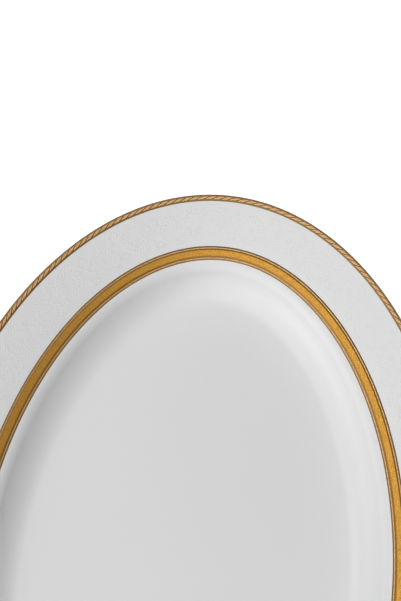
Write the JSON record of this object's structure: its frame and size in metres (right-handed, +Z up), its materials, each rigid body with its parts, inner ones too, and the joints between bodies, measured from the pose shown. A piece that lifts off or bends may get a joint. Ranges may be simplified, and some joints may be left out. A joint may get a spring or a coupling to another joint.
{
  "type": "china serving platter",
  "caption": "Oval white china serving platter with a broad sloping rim, a gilded rope edge, low white relief on the rim and gold lines round a deep well.",
  "frame": {"origin": "under the middle of the platter, level with the underside of its foot ring", "axes": "+Z up out of the well; the long axis runs along Y and the short axis along X"},
  "size_m": [0.25, 0.375, 0.0267],
  "materials": {
    "china_glaze": "clear gloss glaze over white china",
    "rope_ground_enamel": "fired brown enamel, half gloss",
    "rope_gold": "fired gilding, soft gloss, worked as slanting strands",
    "relief_white_enamel": "raised white enamel, half gloss",
    "verge_ground_enamel": "fired brown enamel, half gloss",
    "verge_pale_gold": "thin pale gilding",
    "verge_matte_gold": "matte, finely brushed gilding"
  },
  "bodies": {
    "root": {"china_body": "china_glaze", "rope_ground": "rope_ground_enamel", "rope_border": "rope_gold", "rim_relief": "relief_white_enamel", "verge_ground": "verge_ground_enamel", "verge_outer_fillet": "verge_pale_gold", "verge_band": "verge_matte_gold", "verge_inner_fillet": "verge_pale_gold"}
  },
  "joints": []
}
